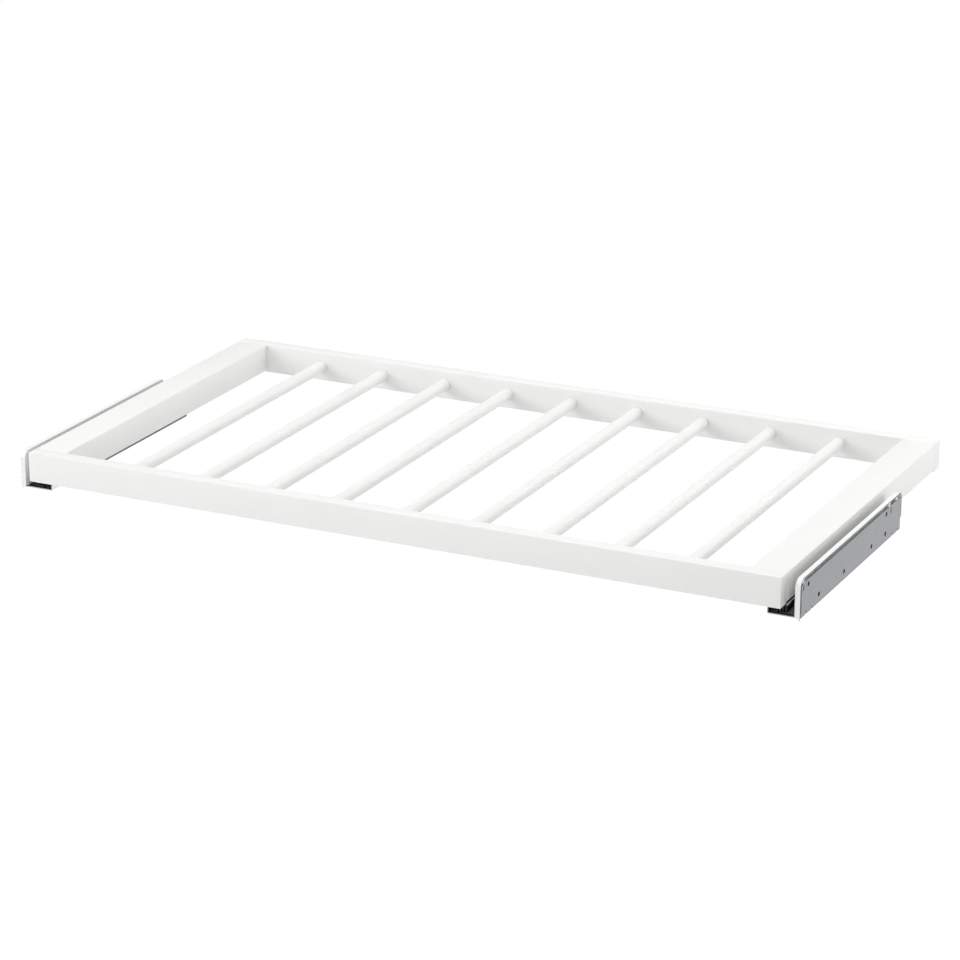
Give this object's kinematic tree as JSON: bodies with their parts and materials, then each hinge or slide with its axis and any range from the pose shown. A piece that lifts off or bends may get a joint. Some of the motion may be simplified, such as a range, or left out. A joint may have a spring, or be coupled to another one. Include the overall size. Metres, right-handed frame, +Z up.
{
  "type": "pull out trouser rack",
  "caption": "White wooden tray frame with round rods for trousers, sliding out on ball runners between two steel wardrobe brackets with plastic covers.",
  "frame": {"origin": "midway between the outer faces of the two wall brackets and midway along the tray frame's depth, at the height of the covers' lowest tips", "axes": "+X runs from the left wardrobe side to the right one, -Y is the front of the wardrobe, which the tray slides out to, and +Z is up"},
  "size_m": [0.964, 0.506, 0.0496],
  "materials": {
    "white_lacquer": "smooth white satin lacquer over solid wood",
    "bare_wood": "untreated beech dowel, hidden in the corner joints",
    "bracket_steel": "zinc-plated sheet steel, light grey and even",
    "cover_plastic": "moulded white plastic, slight sheen",
    "runner_steel": "dark passivated rolled steel, lightly greased",
    "fastener_steel": "bright zinc-plated",
    "bumper_rubber": "dull dark rubber",
    "catch_plastic": "pale grey-green moulded plastic"
  },
  "bodies": {
    "brackets": {"left_wall_bracket": "bracket_steel", "right_wall_bracket": "bracket_steel", "left_bracket_cover": "cover_plastic", "right_bracket_cover": "cover_plastic", "left_cabinet_member": "runner_steel", "right_cabinet_member": "runner_steel", "left_runner_rivet_1": "fastener_steel", "left_runner_rivet_2": "fastener_steel", "left_runner_rivet_3": "fastener_steel", "left_runner_rivet_4": "fastener_steel", "right_runner_rivet_1": "fastener_steel", "right_runner_rivet_2": "fastener_steel", "right_runner_rivet_3": "fastener_steel", "right_runner_rivet_4": "fastener_steel", "left_rear_bumper": "bumper_rubber", "right_rear_bumper": "bumper_rubber"},
    "tray": {"front_rail": "white_lacquer", "back_rail": "white_lacquer", "left_side_rail": "white_lacquer", "right_side_rail": "white_lacquer", "trouser_rod_1": "white_lacquer", "trouser_rod_2": "white_lacquer", "trouser_rod_3": "white_lacquer", "trouser_rod_4": "white_lacquer", "trouser_rod_5": "white_lacquer", "trouser_rod_6": "white_lacquer", "trouser_rod_7": "white_lacquer", "trouser_rod_8": "white_lacquer", "trouser_rod_9": "white_lacquer", "left_front_dowel_1": "bare_wood", "left_front_dowel_2": "bare_wood", "right_front_dowel_1": "bare_wood", "right_front_dowel_2": "bare_wood", "left_back_dowel_1": "bare_wood", "left_back_dowel_2": "bare_wood", "right_back_dowel_1": "bare_wood", "right_back_dowel_2": "bare_wood", "left_tray_member": "runner_steel", "right_tray_member": "runner_steel", "left_front_catch": "catch_plastic", "right_front_catch": "catch_plastic", "left_tray_screw_1": "fastener_steel", "left_tray_screw_2": "fastener_steel", "right_tray_screw_1": "fastener_steel", "right_tray_screw_2": "fastener_steel"},
    "left_middle": {"left_middle_member": "runner_steel"},
    "right_middle": {"right_middle_member": "runner_steel"},
    "left_inner_cage": {"left_inner_ball_cage": "runner_steel"},
    "right_inner_cage": {"right_inner_ball_cage": "runner_steel"},
    "left_outer_cage": {"left_outer_ball_cage": "runner_steel"},
    "right_outer_cage": {"right_outer_ball_cage": "runner_steel"}
  },
  "joints": [
    {"name": "tray_slide", "type": "slide", "parent": "brackets", "child": "tray", "axis": [0, -1, 0], "range_m": [0, 0.28]},
    {"name": "left_middle_slide", "type": "slide", "parent": "brackets", "child": "left_middle", "axis": [0, -1, 0], "range_m": [0, 0.14]},
    {"name": "right_middle_slide", "type": "slide", "parent": "brackets", "child": "right_middle", "axis": [0, -1, 0], "range_m": [0, 0.14]},
    {"name": "left_inner_cage_slide", "type": "slide", "parent": "brackets", "child": "left_inner_cage", "axis": [0, -1, 0], "range_m": [0, 0.07]},
    {"name": "right_inner_cage_slide", "type": "slide", "parent": "brackets", "child": "right_inner_cage", "axis": [0, -1, 0], "range_m": [0, 0.07]},
    {"name": "left_outer_cage_slide", "type": "slide", "parent": "brackets", "child": "left_outer_cage", "axis": [0, -1, 0], "range_m": [0, 0.21]},
    {"name": "right_outer_cage_slide", "type": "slide", "parent": "brackets", "child": "right_outer_cage", "axis": [0, -1, 0], "range_m": [0, 0.21]}
  ],
  "couplings": [
    {"joint": "left_middle_slide", "follows": "tray_slide", "ratio": 0.5},
    {"joint": "right_middle_slide", "follows": "tray_slide", "ratio": 0.5},
    {"joint": "left_inner_cage_slide", "follows": "tray_slide", "ratio": 0.25},
    {"joint": "right_inner_cage_slide", "follows": "tray_slide", "ratio": 0.25},
    {"joint": "left_outer_cage_slide", "follows": "tray_slide", "ratio": 0.75},
    {"joint": "right_outer_cage_slide", "follows": "tray_slide", "ratio": 0.75}
  ]
}
